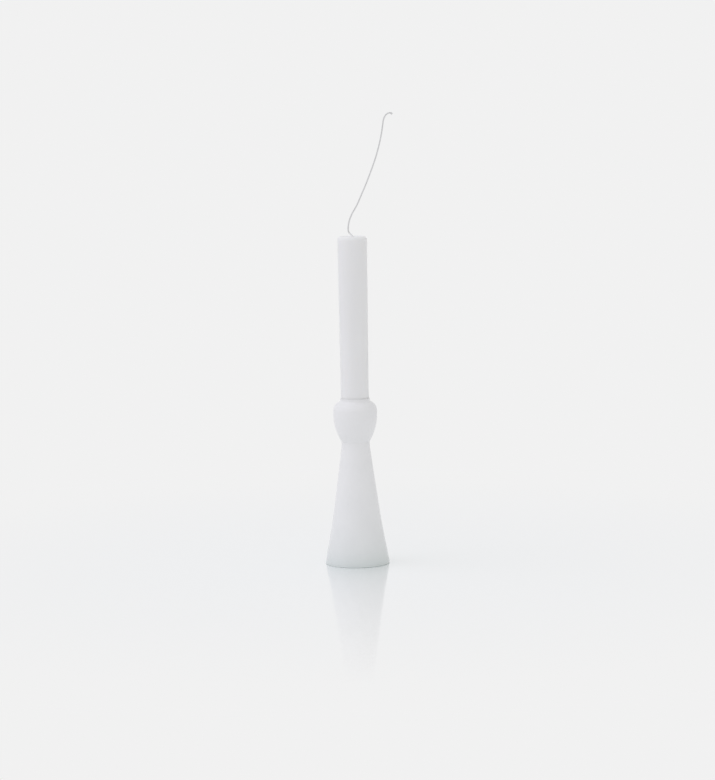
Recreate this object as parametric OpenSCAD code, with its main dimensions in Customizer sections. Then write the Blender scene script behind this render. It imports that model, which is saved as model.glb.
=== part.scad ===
// Turned candlestick in two pieces, with its candle.
// Millimetres. The axis is Z, and the underside of the felt stands on Z = 0.

/* [Foot] */
// Diameter of the foot at its lower edge, before the edge is rounded
foot_d = 49.6; // [46:0.2:60]
// Height of the turned foot, from its lower edge to the joint with the cup
foot_h = 94.95; // [80:0.05:120]
// Diameter where the wide lower cone turns into the slim one
knee_d = 37.9; // [32:0.1:42]
// Height of that turn above the lower edge
knee_h = 31.95; // [22:0.05:45]
// Length over which the turn is softened, each way
knee_soft = 9; // [2:0.5:14]
// Diameter of the straight neck under the cup
neck_d = 21.7; // [18:0.1:22.4]
// Length of the straight neck
neck_l = 4.1; // [3:0.1:10]
// Length over which the cone runs into the neck, each way
neck_soft = 2.6; // [0.5:0.1:2.8]
// Rounding of the lower edge
foot_edge = 0.2; // [0.1:0.1:2]

/* [Cup] */
// Greatest diameter of the cup
cup_d = 33.8; // [31.4:0.1:42]
// Height of the cup, from the joint to its rim
cup_h = 33.4; // [30.6:0.1:44]
// Height of the lower flank, from the joint up to the straight belly
flank_h = 21; // [16:0.5:23.5]
// Radius of the shoulder in section
shoulder_r = 7; // [4:0.5:8.5]
// Slope of the shoulder where it runs up to the collar, in degrees
shoulder_slope = 25; // [15:1:35]
// Width by which the cup's seat stands out over the neck
seat_overhang = 0.05; // [0:0.05:1]
// Height of the collar round the socket's mouth, from the shoulder to the rim
collar_h = 2.4; // [0.8:0.1:4]
// Wall of the collar at the rim
collar_t = 0.4; // [0.2:0.1:1]
// Length over which the shoulder runs into the collar, each way
cove_soft = 1.5; // [0.3:0.1:2.4]

/* [Dowel] */
// Diameter of the dowel
dowel_d = 8; // [6:0.5:10]
// Length of the dowel
dowel_l = 30; // [24:1:40]
// Wood left between the end of the dowel's hole and the socket
dowel_cover = 2.4; // [1.5:0.1:6]
// Chamfer at each end of the dowel
dowel_chamfer = 0.8; // [0.3:0.1:1.2]
// Number of glue flutes round the dowel
flute_count = 12; // [6:1:14]
// Width of a glue flute
flute_w = 0.8; // [0.4:0.1:1]
// Depth of a glue flute
flute_depth = 0.35; // [0.2:0.05:0.5]

/* [Socket liner] */
// Depth of the socket, from the rim down to the liner's floor
liner_depth = 22; // [15:0.5:25]
// Thickness of the liner's sheet metal
liner_t = 0.3; // [0.2:0.05:0.6]
// Depth by which the liner's edge stays below the rim
liner_sink = 0.1; // [0.05:0.05:1]
// Outside rounding between the liner's wall and floor
liner_corner = 1.4; // [0.8:0.1:2]

/* [Candle] */
// Diameter of the candle at its foot
candle_foot_d = 21; // [18:0.1:21.6]
// Diameter of the candle at its top, before the edge is rounded
candle_top_d = 22.8; // [20:0.1:25]
// Length of the candle
candle_l = 146.6; // [80:0.2:260]
// Rounding of the top edge
candle_edge = 3.2; // [0.5:0.1:4]
// Chamfer of the lower edge
candle_chamfer = 1.4; // [1:0.1:2]
// Diameter of the shallow dish round the wick
dish_d = 9; // [4:0.5:14]
// Depth of that dish
dish_depth = 0.8; // [0.3:0.1:1.2]

/* [Wick] */
// Diameter of the wick
wick_d = 1.2; // [0.8:0.1:1.6]

/* [Ballast] */
// Diameter of the weight in the foot
ballast_d = 28; // [16:0.5:32]
// Height of the weight
ballast_h = 14; // [6:0.5:20]
// Chamfer of the weight's edges
ballast_chamfer = 0.8; // [0.3:0.1:1.5]

/* [Felt pad] */
// Width of the bare ring between the foot's edge and the felt
felt_margin = 3.3; // [2.6:0.1:8]
// Thickness of the felt
felt_t = 1.6; // [1:0.1:3]
// Height by which the felt stands proud of the foot
felt_proud = 0.05; // [0.05:0.05:0.8]

/* [Fits] */
// Radial clearance of the glued dowel in its holes
dowel_clear = 0.05; // [0.02:0.01:0.2]
// Glue space past the upper end of the dowel
dowel_end_gap = 0.5; // [0.2:0.1:1]
// Radial clearance of the glued weight in its bore
ballast_clear = 0.1; // [0.05:0.05:0.4]
// Radial clearance of the felt in its recess
felt_clear = 0.2; // [0.1:0.05:0.5]
// Radial clearance of the liner in the cup
liner_clear = 0.05; // [0.03:0.01:0.2]
// Play under the liner's floor
liner_drop = 0.05; // [0.02:0.01:0.3]
// Radial clearance of the candle in the liner, at the rim
candle_clear = 0.1; // [0.05:0.05:0.6]
// Radial clearance between the wick and the wax
wick_clear = 0.02; // [0.01:0.01:0.1]

/* [Hidden] */
$fn = 96;

// Steps in each curved stretch of an outline
curve_steps = 20;
// Extra length of a cutting tool past the face that it opens
past = 1;

// Heights of the foot's features
foot_z = felt_proud;
knee_z = foot_z + knee_h;
joint_z = foot_z + foot_h;
neck_z = joint_z - neck_l;
recess_z = felt_t;
felt_d = foot_d - 2 * felt_margin;
ballast_top_z = recess_z + ballast_h;

// Candle and socket sizes that follow each other
candle_taper = (candle_top_d - candle_foot_d) / 2 / candle_l;
candle_rim_r = candle_foot_d / 2 + max(0, candle_taper * liner_depth);
liner_in_r = candle_rim_r + candle_clear;
liner_r = liner_in_r + liner_t;
socket_r = liner_r + liner_clear;
collar_r = socket_r + collar_t;

// The cup's section: a flank arc, a straight belly, a shoulder arc, a slope and a coved collar
cup_r = cup_d / 2;
seat_r = neck_d / 2 + seat_overhang;
flank_bulge = cup_r - seat_r;
flank_r = (flank_h * flank_h + flank_bulge * flank_bulge) / (2 * flank_bulge);
flank_angle = asin(flank_h / flank_r);
belly_z = joint_z + flank_h;
rim_z = joint_z + cup_h;
shoulder_x = cup_r - shoulder_r;
collar_z = rim_z - collar_h;
slope_x = shoulder_x + shoulder_r * sin(shoulder_slope);
slope_l = (slope_x - collar_r) / cos(shoulder_slope);
slope_z = collar_z - slope_l * sin(shoulder_slope);
shoulder_z = slope_z - shoulder_r * cos(shoulder_slope);
cove_reach = min(cove_soft, slope_l, collar_h);

// Heights of the liner, the candle and the wick
liner_top_z = rim_z - liner_sink;
liner_floor_z = rim_z - liner_depth;
socket_floor_z = liner_floor_z - liner_t - liner_drop;
candle_z = liner_floor_z;
candle_top_z = candle_z + candle_l;
wick_root_z = candle_top_z - dish_depth;

// Ends of the dowel, which stands on the bottom of its hole in the foot
dowel_top_z = socket_floor_z - dowel_cover - dowel_end_gap;
dowel_z = dowel_top_z - dowel_l;

// The free wick, from its root: a kink to the left, a long sweep to the right and a hook
wick_route = [
    [0, 0, 0],
    [0, 0, 1.1],
    [-0.5, 0, 2],
    [-1.6, -0.2, 3.1],
    [-2.6, -0.4, 4.4],
    [-2.9, -0.7, 6.5],
    [-2.6, -1.2, 9.9],
    [-1.8, -1.6, 13.2],
    [-0.6, -1.9, 16.3],
    [0.9, -2.1, 19.3],
    [2.7, -2.2, 22.3],
    [4.5, -2.2, 25.5],
    [7.2, -2, 31.5],
    [9.9, -1.6, 37.5],
    [12.5, -1.1, 43.5],
    [14.9, -0.5, 49.5],
    [17.2, 0.2, 55.5],
    [19.3, 0.9, 61.5],
    [21.1, 1.5, 67.5],
    [22.6, 2, 73.5],
    [23.9, 2.3, 79.5],
    [24.8, 2.4, 85.5],
    [25.3, 2.4, 88.5],
    [26, 2.3, 90.7],
    [27.1, 2.2, 92.5],
    [28.5, 2, 93.7],
    [30, 1.8, 94.2],
    [31.3, 1.6, 94],
    [32.1, 1.5, 93.3],
];
// Rings of the wick's tube between two points of the route
wick_steps = 2;
// Sides of the wick's tube
wick_sides = 8;

// A corner at b on the way from a to c, softened over reach each way
function soft_corner(a, b, c, reach) =
    let (
        from = b + (a - b) * reach / norm(a - b),
        to = b + (c - b) * reach / norm(c - b)
    )
    [
        for (i = [0 : curve_steps])
            let (t = i / curve_steps)
                (1 - t) * (1 - t) * from + 2 * t * (1 - t) * b + t * t * to
    ];

// Points of an arc round centre, between two angles
function arc(centre, radius, from, to) =
    [
        for (i = [0 : curve_steps])
            let (angle = from + (to - from) * i / curve_steps)
                centre + radius * [cos(angle), sin(angle)]
    ];

// Point i of a list, held at both ends
function held(list, i) = list[max(0, min(len(list) - 1, i))];

// A smooth curve through all points of a list, with a number of steps between two points
function smooth_path(list, steps) =
    [
        for (i = [0 : len(list) - 2], k = [0 : steps - 1])
            let (
                t = k / steps,
                p0 = held(list, i - 1),
                p1 = list[i],
                p2 = list[i + 1],
                p3 = held(list, i + 2)
            )
            0.5 * (2 * p1 + (p2 - p0) * t + (2 * p0 - 5 * p1 + 4 * p2 - p3) * t * t
                + (3 * p1 - p0 - 3 * p2 + p3) * t * t * t),
        list[len(list) - 1],
    ];

function unit(v) = v / norm(v);

// A ring of points round p, square to the direction along
function ring(p, along, radius, sides) =
    let (
        right = unit(cross([0, 1, 0], along)),
        front = cross(along, right)
    )
    [
        for (k = [0 : sides - 1])
            let (angle = 360 * k / sides)
                p + radius * (right * cos(angle) + front * sin(angle))
    ];

// A closed tube along a path, with triangles all over
module tube(path, radius, sides) {
    last = len(path) - 1;
    along = [for (i = [0 : last]) unit(held(path, i + 1) - held(path, i - 1))];
    points = [for (i = [0 : last]) each ring(path[i], along[i], radius, sides)];
    walls = [
        for (i = [0 : last - 1], k = [0 : sides - 1])
            let (
                a = i * sides + k,
                b = i * sides + (k + 1) % sides,
                c = b + sides,
                d = a + sides
            )
            each [[a, d, c], [a, c, b]],
    ];
    bottom = [for (k = [1 : sides - 2]) [0, k, k + 1]];
    first_top = last * sides;
    top = [for (k = [1 : sides - 2]) [first_top, first_top + k + 1, first_top + k]];
    polyhedron(points = points, faces = concat(walls, bottom, top));
}

// A round bar with a chamfer at each end, standing at height z
module chamfered_bar(diameter, length, chamfer, z) {
    r = diameter / 2;
    rotate_extrude()
        polygon([
            [0, z],
            [r - chamfer, z],
            [r, z + chamfer],
            [r, z + length - chamfer],
            [r - chamfer, z + length],
            [0, z + length],
        ]);
}

// The hole that the dowel is glued into, from the joint into cup and foot
module dowel_hole() {
    translate([0, 0, dowel_z])
        cylinder(d = dowel_d + 2 * dowel_clear, h = dowel_l + dowel_end_gap);
}

// Turned foot: two softened cones and a straight neck, hollowed below for weight and felt
module foot() {
    edge = [foot_d / 2, foot_z];
    knee = [knee_d / 2, knee_z];
    neck = [neck_d / 2, neck_z];
    seat = [neck_d / 2, joint_z];
    color("#e4e5e6")
    difference() {
        rotate_extrude()
            polygon(concat(
                [[0, foot_z]],
                soft_corner([0, foot_z], edge, knee, foot_edge),
                soft_corner(edge, knee, neck, knee_soft),
                soft_corner(knee, neck, seat, neck_soft),
                [seat, [0, joint_z]]
            ));
        translate([0, 0, foot_z - past])
            cylinder(d = felt_d + 2 * felt_clear, h = recess_z - foot_z + past);
        translate([0, 0, foot_z])
            cylinder(d = ballast_d + 2 * ballast_clear, h = ballast_top_z - foot_z);
        dowel_hole();
    }
}

// Turned cup: the bud that holds the candle, bored for the liner and for the dowel
module cup() {
    color("#e8e9ea")
    difference() {
        rotate_extrude()
            polygon(concat(
                [[0, joint_z]],
                arc([cup_r - flank_r, belly_z], flank_r, -flank_angle, 0),
                arc([shoulder_x, shoulder_z], shoulder_r, 0, 90 - shoulder_slope),
                soft_corner([slope_x, slope_z], [collar_r, collar_z], [collar_r, rim_z], cove_reach),
                [[collar_r, rim_z], [0, rim_z]]
            ));
        translate([0, 0, socket_floor_z])
            cylinder(r = socket_r, h = rim_z - socket_floor_z + past);
        dowel_hole();
    }
}

// Fluted dowel, glued into the foot and the cup
module dowel() {
    flute_r = (flute_w * flute_w / 4 + flute_depth * flute_depth) / (2 * flute_depth);
    color("#cfa873")
    difference() {
        chamfered_bar(dowel_d, dowel_l, dowel_chamfer, dowel_z);
        for (k = [0 : flute_count - 1])
            rotate(360 * k / flute_count)
                translate([dowel_d / 2 - flute_depth + flute_r, 0, dowel_z - past])
                    cylinder(r = flute_r, h = dowel_l + 2 * past);
    }
}

// Weight that keeps the tall candle from tipping the stick, between felt and bore
module ballast() {
    color("#6d7075")
        chamfered_bar(ballast_d, ballast_h, ballast_chamfer, recess_z);
}

// Felt disc in its recess, a little proud of the foot
module felt_pad() {
    color("#d9d7d0")
        cylinder(d = felt_d, h = felt_t);
}

// Drawn metal cup that stands loose in the socket, its edge just below the rim
module socket_liner() {
    floor_under = liner_floor_z - liner_t;
    inner_corner = liner_corner - liner_t;
    edge_outside = [liner_r, liner_top_z];
    edge_inside = [liner_in_r, liner_top_z];
    color("#dddfe1")
    rotate_extrude()
        polygon(concat(
            [[0, floor_under]],
            soft_corner([0, floor_under], [liner_r, floor_under], edge_outside, liner_corner),
            [edge_outside, edge_inside],
            soft_corner(edge_inside, [liner_in_r, liner_floor_z], [0, liner_floor_z], inner_corner),
            [[0, liner_floor_z]]
        ));
}

// Wax candle, a little wider at its top, with a dish round the wick
module candle() {
    foot_r = candle_foot_d / 2;
    top_r = candle_top_d / 2;
    dish_r = dish_d / 2;
    chamfer_r = foot_r + candle_taper * candle_chamfer;
    dish = [
        for (i = [0 : curve_steps])
            let (t = i / curve_steps)
                [dish_r * (1 - t), candle_top_z - dish_depth * t * t * (3 - 2 * t)]
    ];
    color("#efefee")
    difference() {
        rotate_extrude()
            polygon(concat(
                [[0, candle_z], [foot_r - candle_chamfer, candle_z], [chamfer_r, candle_z + candle_chamfer]],
                soft_corner([foot_r, candle_z], [top_r, candle_top_z], [0, candle_top_z], candle_edge),
                dish
            ));
        translate([0, 0, candle_z - past])
            cylinder(d = wick_d + 2 * wick_clear, h = candle_l + 2 * past);
    }
}

// The wick inside the wax, from the candle's foot to the floor of the dish
module wick_core() {
    color("#f2f0ea")
        translate([0, 0, candle_z])
            cylinder(d = wick_d, h = wick_root_z - candle_z);
}

// The free wick that stands above the candle
module wick_tail() {
    color("#d8d6d0")
        translate([0, 0, wick_root_z])
            tube(smooth_path(wick_route, wick_steps), wick_d / 2, wick_sides);
}

foot();
cup();
dowel();
ballast();
felt_pad();
socket_liner();
candle();
wick_core();
wick_tail();
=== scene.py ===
"""White turned candlestick with its wax candle and long wick, on a pale glossy table.

The file is laid out as an add-on: property groups hold the sizes and colours, one operator makes
each piece or group of pieces, and a panel in the 3D view's sidebar lists them. Lengths are in metres.
"""

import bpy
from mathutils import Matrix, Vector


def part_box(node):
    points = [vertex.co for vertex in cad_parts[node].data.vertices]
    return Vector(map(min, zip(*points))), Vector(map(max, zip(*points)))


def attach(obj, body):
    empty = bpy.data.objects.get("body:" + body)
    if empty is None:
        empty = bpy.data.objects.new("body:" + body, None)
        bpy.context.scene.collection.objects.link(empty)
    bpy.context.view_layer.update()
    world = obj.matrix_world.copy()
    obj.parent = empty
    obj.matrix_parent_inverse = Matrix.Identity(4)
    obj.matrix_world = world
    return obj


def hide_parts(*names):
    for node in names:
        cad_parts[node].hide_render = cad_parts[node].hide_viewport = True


bl_info = {
    "name": "Turned Candlestick",
    "version": (1, 0, 0),
    "blender": (4, 5, 0),
    "location": "View3D > Sidebar > Candlestick",
    "description": "Dresses a turned candlestick, its candle and its wick, and lights them on a table",
    "category": "Object",
}

import math

import bmesh
import bpy
from bpy.props import FloatProperty, FloatVectorProperty, IntProperty, PointerProperty
from bpy.types import Operator, Panel, PropertyGroup
from mathutils import Matrix, Vector

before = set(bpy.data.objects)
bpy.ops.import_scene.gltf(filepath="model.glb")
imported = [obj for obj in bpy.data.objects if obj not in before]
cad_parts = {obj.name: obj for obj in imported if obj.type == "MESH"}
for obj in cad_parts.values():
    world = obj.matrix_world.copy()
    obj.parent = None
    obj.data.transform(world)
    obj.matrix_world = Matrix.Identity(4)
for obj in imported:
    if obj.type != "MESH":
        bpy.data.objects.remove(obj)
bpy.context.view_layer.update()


def node_radius(node):
    """Outer radius of a round CAD node that stands on the Z axis."""
    low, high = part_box(node)
    return (high.x - low.x) / 2


def node_bottom(node):
    """Lowest height of a CAD node."""
    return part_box(node)[0].z


def node_top(node):
    """Highest height of a CAD node."""
    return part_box(node)[1].z


# Heights that several pieces share, read from the frame
JOINT_Z = node_top("foot")
RIM_Z = node_top("cup")
RECESS_Z = node_top("felt_pad")
CANDLE_TOP_Z = node_top("candle")
WICK_ROOT_Z = node_top("wick_core")

# Steps in a softened corner of an outline, and in an arc
CORNER_STEPS = 10
ARC_STEPS = 36
# Longest straight run of an outline between two points
RUN_STEP = 0.0012
# Faces that meet at a sharper angle than this are shaded with a crisp edge
CRISP_ANGLE = math.radians(40)
# A full turn in radians
FULL_TURN = 2 * math.pi
# A thousandth of a millimetre
MICRON = 1e-6


def length(name, description, default, **more):
    """A property that holds a length in metres."""
    return FloatProperty(
        name=name, description=description, default=default, unit="LENGTH", precision=5, **more
    )


def share(name, description, default):
    """A property that holds a number from 0 to 1."""
    return FloatProperty(
        name=name, description=description, default=default, min=0, max=1, subtype="FACTOR"
    )


def level(name, description, default):
    """A property that holds a plain positive number."""
    return FloatProperty(name=name, description=description, default=default, min=0)


def angle(name, description, degrees):
    """A property that holds an angle."""
    return FloatProperty(
        name=name, description=description, default=math.radians(degrees), subtype="ANGLE"
    )


def tint(name, description, default):
    """A property that holds a colour."""
    return FloatVectorProperty(
        name=name, description=description, default=default, size=3, min=0, max=1, subtype="COLOR"
    )


class TurnedWoodSettings(PropertyGroup):
    """Shape and lacquer of the foot and the cup."""

    foot_radius: length("Foot radius", "Radius of the foot's lower edge before rounding", 0.0248)
    foot_edge: length("Foot edge", "Rounding of the foot's lower edge", 0.0002)
    knee_radius: length("Knee radius", "Radius where the wide cone turns into the slim one", 0.01895)
    knee_height: length("Knee height", "Height of that turn above the foot's lower edge", 0.03195)
    knee_soft: length("Knee softness", "Length over which the turn is softened", 0.009)
    neck_radius: length("Neck radius", "Radius of the straight neck under the cup", 0.01085)
    neck_length: length("Neck length", "Length of the straight neck", 0.0041)
    neck_soft: length("Neck softness", "Length over which the cone runs into the neck", 0.0026)
    seat_overhang: length("Seat overhang", "Width by which the cup stands out over the neck", 0.00005)
    joint_ease: length("Joint ease", "Rounding of both edges at the joint", 0.00002)
    flank_height: length("Flank height", "Height of the cup's lower flank", 0.021)
    shoulder_radius: length("Shoulder radius", "Radius of the cup's shoulder in section", 0.007)
    shoulder_slope: angle("Shoulder slope", "Slope of the shoulder where it runs up to the collar", 25)
    collar_height: length("Collar height", "Height of the collar, from the shoulder to the rim", 0.0024)
    collar_wall: length("Collar wall", "Wall of the collar at the rim", 0.0004)
    cove_soft: length("Cove softness", "Length over which the shoulder runs into the collar", 0.0015)
    rim_ease: length("Rim ease", "Rounding of both edges of the rim", 0.00015)
    glue_gap: length("Glue gap", "Clearance round the dowel", 0.00005)
    weight_gap: length("Weight gap", "Clearance round the weight", 0.0001)
    felt_gap: length("Felt gap", "Clearance round the felt", 0.0002)
    liner_gap: length("Liner gap", "Clearance round the liner", 0.00005)
    liner_drop: length("Liner drop", "Play under the liner's floor", 0.00005)
    dowel_end_gap: length("Dowel end gap", "Glue space past the dowel's upper end", 0.0005)
    lacquer_light: tint("Lacquer, light", "Lighter tone of the white lacquer", (0.875, 0.875, 0.875))
    lacquer_dark: tint("Lacquer, dark", "Darker tone of the white lacquer", (0.855, 0.856, 0.858))
    lacquer_roughness: share("Lacquer roughness", "Mean roughness of the satin lacquer", 0.34)
    segments: IntProperty(name="Segments", description="Faces round a turned piece", default=160, min=24)


class CandleSettings(PropertyGroup):
    """Shape and wax of the candle."""

    foot_radius: length("Foot radius", "Radius of the candle at its foot", 0.0105)
    top_radius: length("Top radius", "Radius of the candle at its top before rounding", 0.0114)
    top_edge: length("Top edge", "Rounding of the top edge", 0.0032)
    foot_chamfer: length("Foot chamfer", "Chamfer of the lower edge", 0.0014)
    dish_radius: length("Dish radius", "Radius of the shallow dish round the wick", 0.0045)
    climb_radius: length("Climb radius", "Radius of the wax that climbs the wick", 0.0011)
    climb_height: length("Climb height", "Height of the wax that climbs the wick", 0.00035)
    coat_length: length("Coat length", "Length of the wick that is coated with wax", 0.0056)
    coat_radius: length("Coat radius", "Radius of that coat at the wick's root", 0.0012)
    coat_thin: length("Coat, thin", "Radius of that coat where it ends", 0.00045)
    bore_gap: length("Bore gap", "Clearance between wick and wax", 0.00002)
    unevenness: share("Unevenness", "Share of the radius by which the wax waves", 0.011)
    wax_light: tint("Wax, light", "Lighter tone of the wax", (0.875, 0.875, 0.872))
    wax_dark: tint("Wax, dark", "Darker tone of the wax", (0.855, 0.855, 0.852))
    wax_depth: length("Wax depth", "How far light goes into the wax", 0.0025)
    segments: IntProperty(name="Segments", description="Faces round the candle", default=144, min=24)


class WickSettings(PropertyGroup):
    """Braid and cotton of the wick."""

    diameter: length("Diameter", "Width of the braided wick", 0.0012)
    strand_radius: length("Strand radius", "Radius of one strand", 0.00028)
    half_width: length("Half width", "Sideways reach of a strand's middle", 0.00032)
    half_depth: length("Half depth", "Reach of a strand's middle to the front and back", 0.00018)
    pitch: length("Pitch", "Length of one full round of the braid", 0.0026)
    tip_spread: level("Tip spread", "How far the strands open at the cut tip", 1.7)
    cotton_light: tint("Cotton, light", "Lighter tone of the cotton", (0.78, 0.78, 0.775))
    cotton_dark: tint("Cotton, dark", "Darker tone between the fibres", (0.72, 0.72, 0.715))


class InnerSettings(PropertyGroup):
    """Liner, felt, dowel and weight."""

    sheet: length("Sheet", "Thickness of the liner's sheet metal", 0.0003)
    edge_ease: length("Edge ease", "Rounding of the liner's upper edge", 0.0001)
    liner_corner: length("Liner corner", "Rounding between the liner's wall and floor", 0.0014)
    felt_ease: length("Felt ease", "Rounding of the felt's lower and upper edge", 0.00025)
    felt_unevenness: share("Felt unevenness", "Share of the radius by which the cut edge waves", 0.006)
    metal: tint("Liner metal", "Colour of the satin liner", (0.91, 0.915, 0.92))
    felt_light: tint("Felt, light", "Lighter tone of the felt", (0.70, 0.69, 0.65))
    felt_dark: tint("Felt, dark", "Darker tone of the felt", (0.56, 0.55, 0.51))
    beech_light: tint("Beech, light", "Early wood of the dowel", (0.60, 0.41, 0.25))
    beech_dark: tint("Beech, dark", "Late wood of the dowel", (0.46, 0.29, 0.16))
    steel: tint("Steel", "Colour of the weight", (0.36, 0.37, 0.39))


class StageSettings(PropertyGroup):
    """Camera, table and light."""

    camera_back: length("Camera distance", "Distance of the camera in front of the axis", 1.975)
    camera_height: length("Camera height", "Height of the camera above the table", 0.359)
    camera_side: length("Camera side", "Sideways shift of camera and aim", 0.0021)
    aim_height: length("Aim height", "Height that the camera looks at", 0.1346)
    roll: angle("Roll", "Turn of the camera about its view", 1)
    lens: level("Lens", "Focal length in millimetres", 119.1)
    table_radius: length("Table radius", "Radius of the round table", 1.2)
    backdrop: tint("Backdrop", "Pale tone of table and backdrop", (0.8805, 0.8805, 0.8805))
    table_tone: tint("Table tone", "Diffuse tone of the table near the object", (1.0, 1.0, 0.97))
    shaded_reach: length("Shaded reach", "Distance up to which the table shows light and shade", 0.16)
    plain_reach: length("Plain reach", "Distance from which the table has the plain backdrop tone", 0.5)
    # Darker, green-blue tone next to the foot, seen only by light that spreads: painted shade and tint on
    # the foot's lower part
    painted_shade_near: tint(
        "Bounce, near", "Tone next to the foot by which the table lights the object", (0.37, 0.515, 0.475)
    )
    bounce_far: tint("Bounce, far", "The same tone further out", (1.0, 1.0, 1.0))
    bounce_reach: length("Bounce reach", "Distance at which the tone is the far one", 0.077)
    mirror_tint: tint("Mirror tint", "Tint of the table's reflection", (0.965, 0.98, 1.0))
    mirror_share: share("Mirror share", "Strength of the reflection next to the foot", 0.7)
    mirror_reach: length("Mirror reach", "Distance at which the reflection has faded", 0.42)
    mirror_roughness: share("Mirror roughness", "Roughness of the table's gloss", 0.05)
    room_light: level("Room light", "Strength of the even light", 0.694)
    key_light: level("Key light", "Strength of the broad light on the left", 0.51)
    key_side: angle("Key side", "Direction of that light, from the camera's towards the left", 74)
    key_height: angle("Key height", "Height of that light above the table", 51)
    key_width: angle("Key width", "Breadth of that light as the object sees it", 75)
    key_tint: tint("Key tint", "Cool tint of that light", (0.78, 0.775, 1.0))
    top_light: level("Top light", "Strength of the smaller light above", 0.27)
    top_side: angle("Top side", "Direction of the light above, from the camera's towards the left", 90)
    top_height: angle("Top height", "Height of the light above", 66)
    top_width: angle("Top width", "Breadth of the light above as the object sees it", 30)
    top_tint: tint("Top tint", "Tint of the light above", (1.0, 1.0, 1.0))


def set_inputs(tree, node, inputs):
    """Links or sets a node's inputs, by name or by number."""
    for key, value in inputs.items():
        if isinstance(value, bpy.types.NodeSocket):
            tree.links.new(value, node.inputs[key])
        else:
            node.inputs[key].default_value = value


def add_node(tree, kind, inputs=None, **settings):
    """Adds a node, sets its options, and links or sets its inputs."""
    made = tree.nodes.new(kind)
    for name, value in settings.items():
        setattr(made, name, value)
    set_inputs(tree, made, inputs or {})
    return made


def calc(tree, operation, first, second=0.0):
    """A Math node's result."""
    return add_node(tree, "ShaderNodeMath", {0: first, 1: second}, operation=operation).outputs[0]


def scaled(tree, vector, amount):
    """A vector times a number."""
    made = add_node(tree, "ShaderNodeVectorMath", {0: vector, "Scale": amount}, operation="SCALE")
    return made.outputs[0]


def new_tree(name, inputs):
    """A geometry tree with geometry in and out and the named inputs; returns it and its input node."""
    tree = bpy.data.node_groups.new(name, "GeometryNodeTree")
    tree.interface.new_socket("Geometry", in_out="INPUT", socket_type="NodeSocketGeometry")
    for socket_name, kind in inputs:
        tree.interface.new_socket(socket_name, in_out="INPUT", socket_type=kind)
    tree.interface.new_socket("Geometry", in_out="OUTPUT", socket_type="NodeSocketGeometry")
    return tree, add_node(tree, "NodeGroupInput")


def end_tree(tree, geometry, material):
    """Shades the result smooth, realizes it and gives it its material."""
    smooth = add_node(tree, "GeometryNodeSetShadeSmooth", {0: geometry})
    real = add_node(tree, "GeometryNodeRealizeInstances", {0: smooth.outputs[0]})
    painted = add_node(tree, "GeometryNodeSetMaterial", {"Geometry": real.outputs[0], "Material": material})
    add_node(tree, "NodeGroupOutput", {0: painted.outputs[0]})


def turned_tree():
    """Turns an outline in the XZ plane round the Z axis, with a little unevenness."""
    tree, given = new_tree(
        "Turned piece",
        [
            ("Segments", "NodeSocketInt"),
            ("Unevenness", "NodeSocketFloat"),
            ("Seed", "NodeSocketFloat"),
            ("Material", "NodeSocketMaterial"),
        ],
    )
    wave_scale = 34.0
    noise_middle = 0.5
    merge_distance = 1e-6
    outline = given.outputs["Geometry"]
    size = add_node(tree, "GeometryNodeAttributeDomainSize", {"Geometry": outline}, component="CURVE")
    rows = size.outputs["Point Count"]
    span = calc(tree, "SUBTRACT", rows, 1.0)
    grid = add_node(
        tree,
        "GeometryNodeMeshGrid",
        {
            "Size X": FULL_TURN,
            "Size Y": span,
            "Vertices X": calc(tree, "ADD", given.outputs["Segments"], 1.0),
            "Vertices Y": rows,
        },
    )
    place = add_node(tree, "GeometryNodeInputPosition").outputs[0]
    flat = add_node(tree, "ShaderNodeSeparateXYZ", {0: place})
    half_span = calc(tree, "DIVIDE", span, 2.0)
    row = calc(tree, "ROUND", calc(tree, "ADD", flat.outputs["Y"], half_span))
    sample = add_node(
        tree,
        "GeometryNodeSampleIndex",
        {"Geometry": outline, "Value": place, "Index": row},
        data_type="FLOAT_VECTOR",
        domain="POINT",
    )
    point = add_node(tree, "ShaderNodeSeparateXYZ", {0: sample.outputs["Value"]})
    cosine = calc(tree, "COSINE", flat.outputs["X"])
    sine = calc(tree, "SINE", flat.outputs["X"])

    def round_place(radius):
        """The point at that radius, at the grid's angle and the outline's height."""
        return add_node(
            tree,
            "ShaderNodeCombineXYZ",
            {
                "X": calc(tree, "MULTIPLY", radius, cosine),
                "Y": calc(tree, "MULTIPLY", radius, sine),
                "Z": point.outputs["Z"],
            },
        ).outputs[0]

    noise = add_node(
        tree,
        "ShaderNodeTexNoise",
        {"Vector": round_place(point.outputs["X"]), "W": given.outputs["Seed"], "Scale": wave_scale},
        noise_dimensions="4D",
    )
    swing = calc(tree, "SUBTRACT", noise.outputs[0], noise_middle)
    wave = calc(tree, "MULTIPLY", swing, given.outputs["Unevenness"])
    radius = calc(tree, "MULTIPLY", point.outputs["X"], calc(tree, "ADD", wave, 1.0))
    turned = add_node(
        tree, "GeometryNodeSetPosition", {"Geometry": grid.outputs["Mesh"], "Position": round_place(radius)}
    )
    closed = add_node(
        tree, "GeometryNodeMergeByDistance", {"Geometry": turned.outputs[0], "Distance": merge_distance}
    )
    end_tree(tree, closed.outputs[0], given.outputs["Material"])
    return tree


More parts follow.
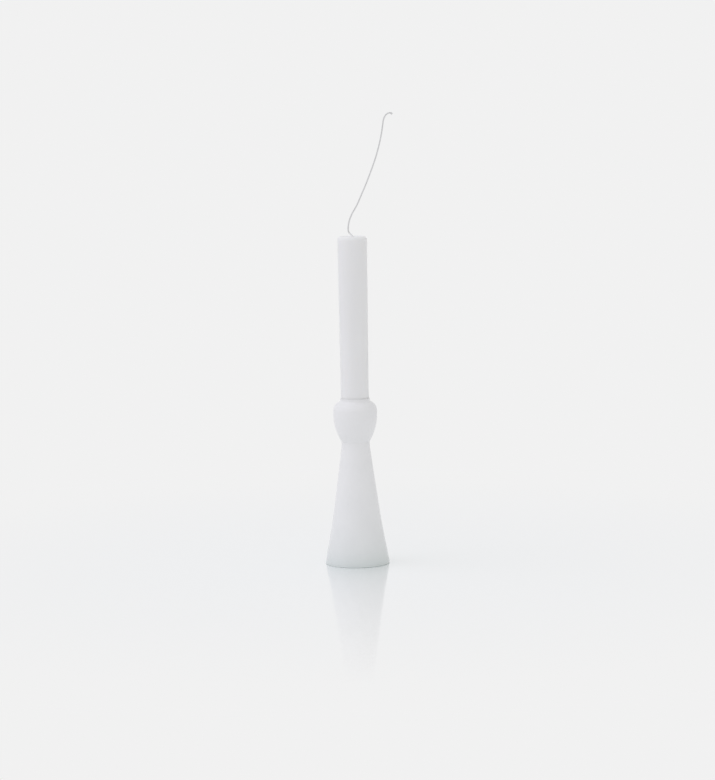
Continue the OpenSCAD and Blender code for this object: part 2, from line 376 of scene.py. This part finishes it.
def braid_tree():
    """Plaits three strands along a curve; they open a little at its far end."""
    tree, given = new_tree(
        "Flat braid",
        [
            ("Strand Radius", "NodeSocketFloat"),
            ("Half Width", "NodeSocketFloat"),
            ("Half Depth", "NodeSocketFloat"),
            ("Pitch", "NodeSocketFloat"),
            ("Tip Spread", "NodeSocketFloat"),
            ("Material", "NodeSocketMaterial"),
        ],
    )
    strands = 3
    strand_sides = 7
    ring_step = 0.00016
    spread_from = 0.972
    even = add_node(
        tree,
        "GeometryNodeResampleCurve",
        {"Curve": given.outputs["Geometry"], "Length": ring_step},
        mode="LENGTH",
    )
    copies = add_node(
        tree,
        "GeometryNodeDuplicateElements",
        {"Geometry": even.outputs[0], "Amount": strands},
        domain="SPLINE",
    )
    along = add_node(tree, "GeometryNodeSplineParameter")
    swept_turn = calc(tree, "MULTIPLY", along.outputs["Length"], FULL_TURN)
    turn = calc(tree, "DIVIDE", swept_turn, given.outputs["Pitch"])
    lag = calc(tree, "MULTIPLY", copies.outputs["Duplicate Index"], FULL_TURN / strands)
    phase = calc(tree, "ADD", turn, lag)
    opening = add_node(
        tree,
        "ShaderNodeMapRange",
        {
            "Value": along.outputs["Factor"],
            "From Min": spread_from,
            "From Max": 1.0,
            "To Min": 1.0,
            "To Max": given.outputs["Tip Spread"],
        },
    ).outputs[0]
    sideways = calc(tree, "MULTIPLY", calc(tree, "SINE", phase), given.outputs["Half Width"])
    over = calc(tree, "SINE", calc(tree, "MULTIPLY", phase, 2.0))
    upwards = calc(tree, "MULTIPLY", over, given.outputs["Half Depth"])
    normal = add_node(tree, "GeometryNodeInputNormal").outputs[0]
    tangent = add_node(tree, "GeometryNodeInputTangent").outputs[0]
    side = add_node(tree, "ShaderNodeVectorMath", {0: tangent, 1: normal}, operation="CROSS_PRODUCT")
    shift_side = scaled(tree, side.outputs[0], calc(tree, "MULTIPLY", sideways, opening))
    shift_up = scaled(tree, normal, calc(tree, "MULTIPLY", upwards, opening))
    shift = add_node(tree, "ShaderNodeVectorMath", {0: shift_side, 1: shift_up}, operation="ADD")
    plaited = add_node(
        tree, "GeometryNodeSetPosition", {"Geometry": copies.outputs[0], "Offset": shift.outputs[0]}
    )
    section = add_node(
        tree,
        "GeometryNodeCurvePrimitiveCircle",
        {"Resolution": strand_sides, "Radius": given.outputs["Strand Radius"]},
    )
    swept = add_node(
        tree,
        "GeometryNodeCurveToMesh",
        {"Curve": plaited.outputs[0], "Profile Curve": section.outputs[0], "Fill Caps": True},
    )
    end_tree(tree, swept.outputs[0], given.outputs["Material"])
    return tree


def soft_corner(before, corner, after, reach):
    """Points of a corner that is softened over reach each way."""
    start = corner + (before - corner).normalized() * reach
    end = corner + (after - corner).normalized() * reach
    points = []
    for step in range(CORNER_STEPS + 1):
        t = step / CORNER_STEPS
        points.append(start * (1 - t) ** 2 + corner * 2 * t * (1 - t) + end * t**2)
    return points


def arc_points(centre, radius, start, end):
    """Points of an arc between two angles, as radius and height."""
    points = []
    for step in range(ARC_STEPS + 1):
        turn = start + (end - start) * step / ARC_STEPS
        points.append(centre + radius * Vector((math.cos(turn), math.sin(turn))))
    return points


def outline_of(corners):
    """Radius and height of every point of an outline whose corners are (radius, height, softness)."""
    bare = [Vector(corner[:2]) for corner in corners]
    points = []
    for i, corner in enumerate(corners):
        if corner[2] > 0:
            points += soft_corner(bare[i - 1], bare[i], bare[i + 1], corner[2])
        else:
            points.append(bare[i])
    return points


def with_even_runs(points):
    """The same outline with long straight runs cut into steps."""
    filled = [points[0]]
    for before, after in zip(points, points[1:]):
        steps = max(1, math.ceil((after - before).length / RUN_STEP))
        for step in range(1, steps + 1):
            filled.append(before.lerp(after, step / steps))
    return filled


def link_object(name, data):
    """Puts new object data into the scene."""
    made = bpy.data.objects.new(name, data)
    bpy.context.scene.collection.objects.link(made)
    return made


def poly_curve(name, points):
    """An open curve object of straight runs through points."""
    curve = bpy.data.curves.new(name, "CURVE")
    curve.dimensions = "3D"
    spline = curve.splines.new("POLY")
    spline.points.add(len(points) - 1)
    for target, point in zip(spline.points, points):
        target.co = (*point, 1.0)
    return link_object(name, curve)


def plain_mesh(name, source):
    """Keeps what a curve or a modifier makes as a plain mesh piece, in place of its source."""
    graph = bpy.context.evaluated_depsgraph_get()
    mesh = bpy.data.meshes.new_from_object(source.evaluated_get(graph))
    if not mesh.polygons:
        raise RuntimeError(f"{name} has no faces")
    bpy.data.objects.remove(source)
    mesh.name = name
    return link_object(name, mesh)


def grown(name, source, tree, inputs):
    """Runs a geometry tree on a source object and keeps its result as a plain mesh piece."""
    modifier = source.modifiers.new(tree.name, "NODES")
    modifier.node_group = tree
    sockets = {item.name: item.identifier for item in tree.interface.items_tree if item.in_out == "INPUT"}
    for socket_name, value in inputs.items():
        modifier[sockets[socket_name]] = value
    return plain_mesh(name, source)


def face_outwards(piece):
    """Turns all faces of a closed piece outwards and marks its crisp edges."""
    shell = bmesh.new()
    shell.from_mesh(piece.data)
    bmesh.ops.recalc_face_normals(shell, faces=shell.faces)
    shell.to_mesh(piece.data)
    shell.free()
    piece.data.set_sharp_from_angle(angle=CRISP_ANGLE)


def turn_piece(name, outline, segments, material, unevenness=0.0, seed=0.0):
    """A turned piece from its outline, made by the tree for turned pieces."""
    tree = bpy.data.node_groups.get("Turned piece") or turned_tree()
    points = [(point.x, 0, point.y) for point in with_even_runs(outline)]
    inputs = {"Segments": segments, "Unevenness": unevenness, "Seed": seed, "Material": material}
    piece = grown(name, poly_curve(name + "_outline", points), tree, inputs)
    face_outwards(piece)
    return piece


def hand_over(piece, body, slot, *nodes):
    """Lets a finished piece ride on its body and stand for its CAD nodes, which it hides; the slot is not
    used.
    """
    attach(piece, body)
    if nodes:
        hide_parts(*nodes)


def new_material(name, **values):
    """A material with one shader whose even values are set on its own sockets."""
    material = bpy.data.materials.new(name)
    material.use_nodes = True
    tree = material.node_tree
    tree.nodes.clear()
    shader = add_node(tree, "ShaderNodeBsdfPrincipled", values)
    add_node(tree, "ShaderNodeOutputMaterial", {"Surface": shader.outputs[0]})
    return material, tree, shader


def grain(tree, scale, stretch=(1, 1, 1), detail=2.0):
    """Noise on the piece's own coordinates, finer along an axis with a larger stretch."""
    place = add_node(tree, "ShaderNodeTexCoord").outputs["Object"]
    laid = add_node(tree, "ShaderNodeMapping", {"Vector": place, "Scale": stretch})
    noise = add_node(
        tree, "ShaderNodeTexNoise", {"Vector": laid.outputs[0], "Scale": scale, "Detail": detail}
    )
    return noise.outputs[0]


def toned(tree, amount, dark, light, low=0.35, high=0.65):
    """A colour between a dark and a light tone."""
    ramp = add_node(tree, "ShaderNodeValToRGB", {0: amount})
    ramp.color_ramp.elements[0].position = low
    ramp.color_ramp.elements[1].position = high
    ramp.color_ramp.elements[0].color = (*dark, 1)
    ramp.color_ramp.elements[1].color = (*light, 1)
    return ramp.outputs[0]


def ranged(tree, amount, low, high):
    """A number from 0 to 1 spread between two limits."""
    limits = {"To Min": low, "To Max": high}
    return add_node(tree, "ShaderNodeMapRange", {"Value": amount, **limits}).outputs[0]


def raised(tree, layers):
    """Bump from layers of (height from 0 to 1, depth in metres)."""
    normal = None
    for height, depth in layers:
        inputs = {"Height": height, "Distance": depth}
        if normal:
            inputs["Normal"] = normal
        normal = add_node(tree, "ShaderNodeBump", inputs).outputs[0]
    return normal


def dulled(colour, left):
    """A colour with a share of its brightness left."""
    return tuple(left * channel for channel in colour)


def lacquer_material(settings):
    """Opaque satin white lacquer over turned wood: soft mottling, faint grain and tool rings."""
    material, tree, shader = new_material(
        "white_lacquer", **{"Coat Weight": 0.15, "Coat Roughness": 0.22, "IOR": 1.46}
    )
    mottle = grain(tree, scale=55.0, detail=3.0)
    sheen_patches = grain(tree, scale=420.0)
    wood_grain = grain(tree, scale=1.0, stretch=(900, 900, 40), detail=3.0)
    tool_rings = grain(tree, scale=1.0, stretch=(20, 20, 1300), detail=1.0)
    sprayed_skin = grain(tree, scale=700.0)
    spread = 0.05
    low = settings.lacquer_roughness - spread
    high = settings.lacquer_roughness + spread
    relief = [(wood_grain, 10 * MICRON), (tool_rings, 6 * MICRON), (sprayed_skin, 12 * MICRON)]
    looks = {
        "Base Color": toned(tree, mottle, settings.lacquer_dark, settings.lacquer_light),
        "Roughness": ranged(tree, sheen_patches, low, high),
        "Normal": raised(tree, relief),
    }
    set_inputs(tree, shader, looks)
    return material


def wax_material(settings):
    """White candle wax: light goes in, the skin is soft and slightly streaked along the candle."""
    material, tree, shader = new_material(
        "candle_wax",
        **{
            "Subsurface Weight": 0.4,
            "Subsurface Radius": (1.0, 0.97, 0.94),
            "Subsurface Scale": settings.wax_depth,
            "IOR": 1.44,
        },
    )
    clouds = grain(tree, scale=40.0, stretch=(1, 1, 0.35), detail=3.0)
    sheen_patches = grain(tree, scale=260.0)
    dents = grain(tree, scale=90.0, stretch=(1, 1, 0.4))
    streaks = grain(tree, scale=1.0, stretch=(650, 650, 30), detail=2.0)
    skin = grain(tree, scale=900.0)
    looks = {
        "Base Color": toned(tree, clouds, settings.wax_dark, settings.wax_light),
        "Roughness": ranged(tree, sheen_patches, low=0.36, high=0.50),
        "Normal": raised(tree, [(dents, 60 * MICRON), (streaks, 12 * MICRON), (skin, 10 * MICRON)]),
    }
    set_inputs(tree, shader, looks)
    return material


def cotton_material(settings):
    """Lightly waxed cotton strands with a fine fuzzy surface."""
    material, tree, shader = new_material(
        "wick_cotton", **{"Roughness": 0.78, "Sheen Weight": 0.15, "Sheen Roughness": 0.5}
    )
    fuzz = grain(tree, scale=5200.0, detail=4.0)
    fibres = grain(tree, scale=1.0, stretch=(14000, 14000, 5000))
    looks = {
        "Base Color": toned(tree, fuzz, settings.cotton_dark, settings.cotton_light),
        "Normal": raised(tree, [(fibres, 30 * MICRON)]),
    }
    set_inputs(tree, shader, looks)
    return material


def liner_material(settings):
    """Drawn sheet metal with a satin skin and fine rings from drawing."""
    material, tree, shader = new_material("liner_metal", **{"Metallic": 1.0})
    rings = grain(tree, scale=1.0, stretch=(30, 30, 4200), detail=2.0)
    haze = grain(tree, scale=240.0, detail=3.0)
    looks = {
        "Base Color": toned(tree, haze, dulled(settings.metal, left=0.94), settings.metal),
        "Roughness": ranged(tree, rings, low=0.26, high=0.44),
        "Normal": raised(tree, [(rings, 8 * MICRON)]),
    }
    set_inputs(tree, shader, looks)
    return material


def felt_material(settings):
    """Pressed wool felt: matted fibres, matt and a little fuzzy."""
    material, tree, shader = new_material(
        "felt", **{"Roughness": 0.95, "Sheen Weight": 0.4, "Sheen Roughness": 0.6}
    )
    matting = grain(tree, scale=1900.0, detail=6.0)
    looks = {
        "Base Color": toned(tree, matting, settings.felt_dark, settings.felt_light),
        "Normal": raised(tree, [(matting, 120 * MICRON)]),
    }
    set_inputs(tree, shader, looks)
    return material


def beech_material(settings):
    """Raw beech with short flecks along the dowel."""
    material, tree, shader = new_material("beech", **{"Roughness": 0.7})
    flecks = grain(tree, scale=1.0, stretch=(1400, 1400, 220), detail=4.0)
    looks = {
        "Base Color": toned(tree, flecks, settings.beech_dark, settings.beech_light),
        "Normal": raised(tree, [(flecks, 40 * MICRON)]),
    }
    set_inputs(tree, shader, looks)
    return material


def steel_material(settings):
    """Turned mild steel with tool rings and dull patches."""
    material, tree, shader = new_material("ballast_steel", **{"Metallic": 1.0})
    rings = grain(tree, scale=1.0, stretch=(60, 60, 5000), detail=2.0)
    haze = grain(tree, scale=300.0, detail=4.0)
    looks = {
        "Base Color": toned(tree, haze, dulled(settings.steel, left=0.7), settings.steel),
        "Roughness": ranged(tree, rings, low=0.3, high=0.55),
        "Normal": raised(tree, [(rings, 10 * MICRON)]),
    }
    set_inputs(tree, shader, looks)
    return material


# The free wick, from its root: a kink to the left, a long sweep to the right and a hook
WICK_ROUTE = [
    (0, 0, 0),
    (0, 0, 0.0011),
    (-0.0005, 0, 0.002),
    (-0.0016, -0.0002, 0.0031),
    (-0.0026, -0.0004, 0.0044),
    (-0.0029, -0.0007, 0.0065),
    (-0.0026, -0.0012, 0.0099),
    (-0.0018, -0.0016, 0.0132),
    (-0.0006, -0.0019, 0.0163),
    (0.0009, -0.0021, 0.0193),
    (0.0027, -0.0022, 0.0223),
    (0.0045, -0.0022, 0.0255),
    (0.0072, -0.002, 0.0315),
    (0.0099, -0.0016, 0.0375),
    (0.0125, -0.0011, 0.0435),
    (0.0149, -0.0005, 0.0495),
    (0.0172, 0.0002, 0.0555),
    (0.0193, 0.0009, 0.0615),
    (0.0211, 0.0015, 0.0675),
    (0.0226, 0.002, 0.0735),
    (0.0239, 0.0023, 0.0795),
    (0.0248, 0.0024, 0.0855),
    (0.0253, 0.0024, 0.0885),
    (0.026, 0.0023, 0.0907),
    (0.0271, 0.0022, 0.0925),
    (0.0285, 0.002, 0.0937),
    (0.03, 0.0018, 0.0942),
    (0.0313, 0.0016, 0.094),
    (0.0321, 0.0015, 0.0933),
]
# Steps of the smooth line between two points of the route
ROUTE_STEPS = 8


def smooth_line(points, steps):
    """A smooth line through all points."""
    last = len(points) - 1
    line = []
    for i in range(last):
        p0 = points[max(0, i - 1)]
        p1 = points[i]
        p2 = points[i + 1]
        p3 = points[min(last, i + 2)]
        for step in range(steps):
            t = step / steps
            line.append(
                0.5
                * (
                    2 * p1
                    + (p2 - p0) * t
                    + (2 * p0 - 5 * p1 + 4 * p2 - p3) * t**2
                    + (3 * p1 - p0 - 3 * p2 + p3) * t**3
                )
            )
    line.append(points[last])
    return line


def wick_line():
    """The free wick's middle line, from its root in the dish to its tip."""
    root = Vector((0, 0, WICK_ROOT_Z))
    return smooth_line([root + Vector(point) for point in WICK_ROUTE], ROUTE_STEPS)


def line_length(points):
    """Length of a line through points."""
    return sum((after - before).length for before, after in zip(points, points[1:]))


def braid(name, line, settings, material, tip_spread):
    """A flat braid along a line, made by the tree for braids."""
    tree = bpy.data.node_groups.get("Flat braid") or braid_tree()
    inputs = {
        "Strand Radius": settings.strand_radius,
        "Half Width": settings.half_width,
        "Half Depth": settings.half_depth,
        "Pitch": settings.pitch,
        "Tip Spread": tip_spread,
        "Material": material,
    }
    piece = grown(name, poly_curve(name + "_line", line), tree, inputs)
    face_outwards(piece)
    return piece


class CANDLESTICK_OT_camera(Operator):
    """Places the camera at the photograph's angle"""

    bl_idname = "candlestick.camera"
    bl_label = "Place Camera"

    def execute(self, context):
        stage = context.scene.candlestick_stage
        eye = Vector((stage.camera_side, -stage.camera_back, stage.camera_height))
        ahead = (Vector((stage.camera_side, 0, stage.aim_height)) - eye).normalized()
        level_right = ahead.cross(Vector((0, 0, 1))).normalized()
        level_up = level_right.cross(ahead)
        right = level_right * math.cos(stage.roll) - level_up * math.sin(stage.roll)
        up = level_right * math.sin(stage.roll) + level_up * math.cos(stage.roll)
        axes = Matrix((right, up, -ahead)).transposed().to_4x4()
        lens = bpy.data.cameras.new("photo_camera")
        lens.lens = stage.lens
        camera = link_object("photo_camera", lens)
        camera.matrix_world = Matrix.Translation(eye) @ axes
        context.scene.camera = camera
        return {"FINISHED"}


class CANDLESTICK_OT_wick(Operator):
    """Braids the free wick and the wick inside the wax"""

    bl_idname = "candlestick.wick"
    bl_label = "Braid Wick"

    def execute(self, context):
        settings = context.scene.candlestick_wick
        cotton = cotton_material(settings)
        line = wick_line()
        tail = braid("wick_tail_braid", line, settings, cotton, settings.tip_spread)
        hand_over(tail, "candle", "wick_cotton", "wick_tail")
        foot = Vector((0, 0, node_bottom("wick_core")))
        core = braid("wick_core_braid", [foot, line[0]], settings, cotton, tip_spread=1.0)
        hand_over(core, "candle", "wick_cotton", "wick_core")
        return {"FINISHED"}


class CANDLESTICK_OT_turned_wood(Operator):
    """Turns the foot and the cup and lacquers them white"""

    bl_idname = "candlestick.turned_wood"
    bl_label = "Turn Foot and Cup"

    def execute(self, context):
        wood = context.scene.candlestick_wood
        lacquer = lacquer_material(wood)
        foot = turn_piece("foot_turned", self.foot_outline(wood), wood.segments, lacquer)
        hand_over(foot, "stick", "white_lacquer", "foot")
        cup = turn_piece("cup_turned", self.cup_outline(wood), wood.segments, lacquer)
        hand_over(cup, "stick", "white_lacquer", "cup")
        return {"FINISHED"}

    def foot_outline(self, wood):
        """From the bottom of the dowel's hole, down the outside and up into the weight's bore."""
        low = node_bottom("foot")
        hole = node_radius("dowel") + wood.glue_gap
        recess = node_radius("felt_pad") + wood.felt_gap
        bore = node_radius("ballast") + wood.weight_gap
        hole_bottom = node_bottom("dowel")
        bore_top = node_top("ballast")
        return outline_of(
            [
                (0, hole_bottom, 0),
                (hole, hole_bottom, 0),
                (hole, JOINT_Z, 0),
                (wood.neck_radius, JOINT_Z, wood.joint_ease),
                (wood.neck_radius, JOINT_Z - wood.neck_length, wood.neck_soft),
                (wood.knee_radius, low + wood.knee_height, wood.knee_soft),
                (wood.foot_radius, low, wood.foot_edge),
                (recess, low, 0),
                (recess, RECESS_Z, 0),
                (bore, RECESS_Z, 0),
                (bore, bore_top, 0),
                (0, bore_top, 0),
            ]
        )

    def cup_outline(self, wood):
        """From the top of the dowel's hole, up the outside and down into the socket."""
        hole = node_radius("dowel") + wood.glue_gap
        hole_top = node_top("dowel") + wood.dowel_end_gap
        cup_radius = node_radius("cup")
        seat = wood.neck_radius + wood.seat_overhang
        bulge = cup_radius - seat
        flank_radius = (wood.flank_height**2 + bulge**2) / (2 * bulge)
        flank_angle = math.asin(wood.flank_height / flank_radius)
        flank_centre = Vector((cup_radius - flank_radius, JOINT_Z + wood.flank_height))
        flank = arc_points(flank_centre, flank_radius, -flank_angle, 0)
        socket = node_radius("socket_liner") + wood.liner_gap
        collar = socket + wood.collar_wall
        collar_z = RIM_Z - wood.collar_height
        shoulder_x = cup_radius - wood.shoulder_radius
        slope_x = shoulder_x + wood.shoulder_radius * math.sin(wood.shoulder_slope)
        slope_z = collar_z - (slope_x - collar) * math.tan(wood.shoulder_slope)
        shoulder_z = slope_z - wood.shoulder_radius * math.cos(wood.shoulder_slope)
        shoulder_centre = Vector((shoulder_x, shoulder_z))
        shoulder = arc_points(shoulder_centre, wood.shoulder_radius, 0, math.pi / 2 - wood.shoulder_slope)
        socket_floor = node_bottom("socket_liner") - wood.liner_drop
        start = [Vector((0, hole_top)), Vector((hole, hole_top)), Vector((hole, JOINT_Z))]
        seat_edge = soft_corner(Vector((hole, JOINT_Z)), flank[0], flank[1], wood.joint_ease)
        top = outline_of(
            [
                (*shoulder[-1], 0),
                (collar, collar_z, wood.cove_soft),
                (collar, RIM_Z, wood.rim_ease),
                (socket, RIM_Z, wood.rim_ease),
                (socket, socket_floor, 0),
                (0, socket_floor, 0),
            ]
        )
        return start + seat_edge + flank[1:] + shoulder[:-1] + top


class CANDLESTICK_OT_candle(Operator):
    """Casts the candle with its dish and its bore for the wick"""

    bl_idname = "candlestick.candle"
    bl_label = "Cast Candle"

    def execute(self, context):
        settings = context.scene.candlestick_candle
        wax = wax_material(settings)
        piece = turn_piece(
            "candle_cast", self.outline(settings), settings.segments, wax, settings.unevenness, seed=3.0
        )
        hand_over(piece, "candle", "candle_wax", "candle")
        hand_over(self.wick_coat(settings, wax), "candle", "candle_wax")
        return {"FINISHED"}

    def wick_coat(self, settings, wax):
        """Wax drawn up the kinked foot of the wick, thinner towards its end."""
        line = wick_line()
        gone = [line_length(line[: i + 1]) / settings.coat_length for i in range(len(line))]
        coated = [(point, part) for point, part in zip(line, gone) if part <= 1]
        curve = poly_curve("wick_coat_line", [point for point, part in coated])
        # A depth of 1 makes each point's radius the coat's own radius there
        curve.data.bevel_depth = 1.0
        curve.data.bevel_resolution = 5
        curve.data.use_fill_caps = True
        curve.data.materials.append(wax)
        flare = settings.coat_radius - settings.coat_thin
        flare_power = 1.5
        for target, (point, part) in zip(curve.data.splines[0].points, coated):
            target.radius = settings.coat_thin + flare * (1 - part) ** flare_power
        return plain_mesh("wick_coat", curve)

    def outline(self, settings):
        """Round the wax in section: foot, side, top edge, dish and the bore back to the foot."""
        low = node_bottom("candle")
        bore = node_radius("wick_core") + settings.bore_gap
        taper = (settings.top_radius - settings.foot_radius) / (CANDLE_TOP_Z - low)
        side = outline_of(
            [
                (bore, low, 0),
                (settings.foot_radius - settings.foot_chamfer, low, 0),
                (settings.foot_radius + taper * settings.foot_chamfer, low + settings.foot_chamfer, 0),
                (settings.top_radius, CANDLE_TOP_Z, settings.top_edge),
                (0, CANDLE_TOP_Z, 0),
            ]
        )[:-1]
        depth = CANDLE_TOP_Z - WICK_ROOT_Z
        dish = []
        for step in range(ARC_STEPS + 1):
            radius = settings.dish_radius + (bore - settings.dish_radius) * step / ARC_STEPS
            inwards = 1 - radius / settings.dish_radius
            hollow = depth * inwards**2 * (3 - 2 * inwards)
            near = max(0.0, 1 - (radius - bore) / settings.climb_radius)
            dish.append(Vector((radius, CANDLE_TOP_Z - hollow + settings.climb_height * near**2)))
        return side + dish + [Vector((bore, low))]


class CANDLESTICK_OT_liner(Operator):
    """Draws the metal liner of the socket"""

    bl_idname = "candlestick.liner"
    bl_label = "Draw Liner"

    def execute(self, context):
        inner = context.scene.candlestick_inner
        wood = context.scene.candlestick_wood
        piece = turn_piece("liner_drawn", self.outline(inner), wood.segments, liner_material(inner))
        hand_over(piece, "liner", "liner_metal", "socket_liner")
        return {"FINISHED"}

    def outline(self, inner):
        """Under the floor, up the outside, over the edge and down the inside."""
        low = node_bottom("socket_liner")
        floor = low + inner.sheet
        top = node_top("socket_liner")
        outside = node_radius("socket_liner")
        inside = outside - inner.sheet
        return outline_of(
            [
                (0, low, 0),
                (outside, low, inner.liner_corner),
                (outside, top, inner.edge_ease),
                (inside, top, inner.edge_ease),
                (inside, floor, inner.liner_corner - inner.sheet),
                (0, floor, 0),
            ]
        )


class CANDLESTICK_OT_inside(Operator):
    """Gives the dowel and the weight inside the stick their materials"""

    bl_idname = "candlestick.inside"
    bl_label = "Finish Dowel and Weight"

    def execute(self, context):
        inner = context.scene.candlestick_inner
        for node, material in (("dowel", beech_material(inner)), ("ballast", steel_material(inner))):
            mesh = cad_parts[node].data
            mesh.materials.clear()
            mesh.materials.append(material)
        return {"FINISHED"}


class CANDLESTICK_OT_felt(Operator):
    """Cuts the felt disc under the foot"""

    bl_idname = "candlestick.felt"
    bl_label = "Cut Felt"

    def execute(self, context):
        inner = context.scene.candlestick_inner
        wood = context.scene.candlestick_wood
        material = felt_material(inner)
        radius = node_radius("felt_pad")
        low = node_bottom("felt_pad")
        outline = outline_of(
            [
                (0, low, 0),
                (radius, low, inner.felt_ease),
                (radius, RECESS_Z, inner.felt_ease),
                (0, RECESS_Z, 0),
            ]
        )
        felt = turn_piece("felt_cut", outline, wood.segments, material, inner.felt_unevenness, seed=7.0)
        hand_over(felt, "stick", "felt", "felt_pad")
        return {"FINISHED"}


class CANDLESTICK_OT_stage(Operator):
    """Lays the table and lights the scene"""

    bl_idname = "candlestick.stage"
    bl_label = "Set Stage"

    def execute(self, context):
        stage = context.scene.candlestick_stage
        context.scene.view_settings.view_transform = "Standard"
        self.lay_table(stage)
        self.light_room(context, stage)
        key_from = (stage.key_side, stage.key_height, stage.key_width)
        top_from = (stage.top_side, stage.top_height, stage.top_width)
        self.shine("key_light", *key_from, stage.key_light, stage.key_tint)
        self.shine("top_light", *top_from, stage.top_light, stage.top_tint)
        return {"FINISHED"}

    def lay_table(self, stage):
        """A round table top that fades into the backdrop."""
        table_sides = 96
        board = bmesh.new()
        bmesh.ops.create_circle(board, cap_ends=True, segments=table_sides, radius=stage.table_radius)
        mesh = bpy.data.meshes.new("table_top")
        board.to_mesh(mesh)
        board.free()
        mesh.materials.append(self.table_material(stage))
        link_object("table_top", mesh)

    def seen_directly(self, tree):
        """1 for rays from the camera and for mirrored or refracted rays, 0 for light that spreads."""
        path = add_node(tree, "ShaderNodeLightPath")
        seen = calc(tree, "MAXIMUM", path.outputs["Is Camera Ray"], path.outputs["Is Glossy Ray"])
        return calc(tree, "MAXIMUM", seen, path.outputs["Is Transmission Ray"])

    def mixed(self, tree, amount, first, second):
        """Two shaders mixed by an amount: 0 is the first alone, 1 is the second alone."""
        shaders = {1: first.outputs[0], 2: second.outputs[0]}
        return add_node(tree, "ShaderNodeMixShader", {0: amount, **shaders})

    def table_material(self, stage):
        """Pale table: shaded near the object, plain backdrop tone further out, a fading mirror, and a
        darker green-blue bounce tone next to the foot that paints shade on the foot's lower part.
        """
        material = bpy.data.materials.new("pale_table")
        material.use_nodes = True
        tree = material.node_tree
        tree.nodes.clear()
        place = add_node(tree, "ShaderNodeTexCoord").outputs["Object"]
        away = add_node(tree, "ShaderNodeVectorMath", {0: place}, operation="LENGTH").outputs["Value"]
        shaded = add_node(tree, "ShaderNodeBsdfDiffuse", {"Color": (*stage.table_tone, 1)})
        plain = add_node(tree, "ShaderNodeEmission", {"Color": (*stage.backdrop, 1)})
        outwards = add_node(
            tree,
            "ShaderNodeMapRange",
            {"Value": away, "From Min": stage.shaded_reach, "From Max": stage.plain_reach},
            interpolation_type="SMOOTHSTEP",
        ).outputs[0]
        tone = self.mixed(tree, outwards, shaded, plain)
        mirror = add_node(
            tree,
            "ShaderNodeBsdfGlossy",
            {"Color": (*stage.mirror_tint, 1), "Roughness": stage.mirror_roughness},
        )
        fade = add_node(
            tree,
            "ShaderNodeMapRange",
            {
                "Value": away,
                "From Min": node_radius("foot"),
                "From Max": stage.mirror_reach,
                "To Min": stage.mirror_share,
                "To Max": 0.0,
            },
        ).outputs[0]
        gloss = self.mixed(tree, fade, tone, mirror)
        # Next to the foot the table is darker and green-blue for light that spreads: painted shade on the
        # foot's lower part, fading to the far tone by the bounce reach
        bounce_tone_with_painted_shade = toned(
            tree,
            away,
            stage.painted_shade_near,
            stage.bounce_far,
            low=node_radius("foot"),
            high=stage.bounce_reach,
        )
        bounce = add_node(tree, "ShaderNodeBsdfDiffuse", {"Color": bounce_tone_with_painted_shade})
        whole = self.mixed(tree, self.seen_directly(tree), bounce, gloss)
        add_node(tree, "ShaderNodeOutputMaterial", {"Surface": whole.outputs[0]})
        return material

    def light_room(self, context, stage):
        """Even light from all sides, and the plain backdrop where the room itself is seen."""
        world = bpy.data.worlds.new("pale_room")
        world.use_nodes = True
        context.scene.world = world
        tree = world.node_tree
        tree.nodes.clear()
        white = (1, 1, 1, 1)
        light = add_node(tree, "ShaderNodeBackground", {"Color": white, "Strength": stage.room_light})
        seen = add_node(tree, "ShaderNodeBackground", {"Color": (*stage.backdrop, 1), "Strength": 1.0})
        whole = self.mixed(tree, self.seen_directly(tree), light, seen)
        add_node(tree, "ShaderNodeOutputWorld", {"Surface": whole.outputs[0]})

    def shine(self, name, side, height, width, strength, colour):
        """A far light that comes from a side, left of the camera's, and from a height."""
        light = bpy.data.lights.new(name, "SUN")
        light.angle = width
        light.energy = strength
        light.color = colour
        level_reach = math.cos(height)
        source = Vector((-math.sin(side) * level_reach, -math.cos(side) * level_reach, math.sin(height)))
        lamp = link_object(name, light)
        lamp.rotation_euler = (-source).to_track_quat("-Z", "Y").to_euler()
        # The table's mirror shows the room and the object, and no glare of the lamp itself
        lamp.visible_glossy = False


OPERATORS = (
    CANDLESTICK_OT_camera,
    CANDLESTICK_OT_wick,
    CANDLESTICK_OT_turned_wood,
    CANDLESTICK_OT_candle,
    CANDLESTICK_OT_liner,
    CANDLESTICK_OT_inside,
    CANDLESTICK_OT_felt,
    CANDLESTICK_OT_stage,
)
SETTINGS = {
    "candlestick_wood": TurnedWoodSettings,
    "candlestick_candle": CandleSettings,
    "candlestick_wick": WickSettings,
    "candlestick_inner": InnerSettings,
    "candlestick_stage": StageSettings,
}


class CANDLESTICK_PT_panel(Panel):
    """Lists the steps that make the candlestick"""

    bl_idname = "CANDLESTICK_PT_panel"
    bl_label = "Candlestick"
    bl_space_type = "VIEW_3D"
    bl_region_type = "UI"
    bl_category = "Candlestick"

    def draw(self, context):
        for step in OPERATORS:
            self.layout.operator(step.bl_idname)
        for pointer, group in SETTINGS.items():
            settings = getattr(context.scene, pointer)
            box = self.layout.box()
            box.label(text=group.__doc__)
            for name in group.__annotations__:
                box.prop(settings, name)


def register():
    for group in SETTINGS.values():
        bpy.utils.register_class(group)
    for pointer, group in SETTINGS.items():
        setattr(bpy.types.Scene, pointer, PointerProperty(type=group))
    for step in OPERATORS:
        bpy.utils.register_class(step)
    bpy.utils.register_class(CANDLESTICK_PT_panel)


def unregister():
    bpy.utils.unregister_class(CANDLESTICK_PT_panel)
    for step in reversed(OPERATORS):
        bpy.utils.unregister_class(step)
    for pointer in SETTINGS:
        delattr(bpy.types.Scene, pointer)
    for group in reversed(list(SETTINGS.values())):
        bpy.utils.unregister_class(group)


def main():
    register()
    bpy.ops.candlestick.camera()
    bpy.ops.candlestick.wick()
    bpy.ops.candlestick.turned_wood()
    bpy.ops.candlestick.candle()
    bpy.ops.candlestick.liner()
    bpy.ops.candlestick.inside()
    bpy.ops.candlestick.felt()
    bpy.ops.candlestick.stage()


if __name__ == "__main__":
    main()
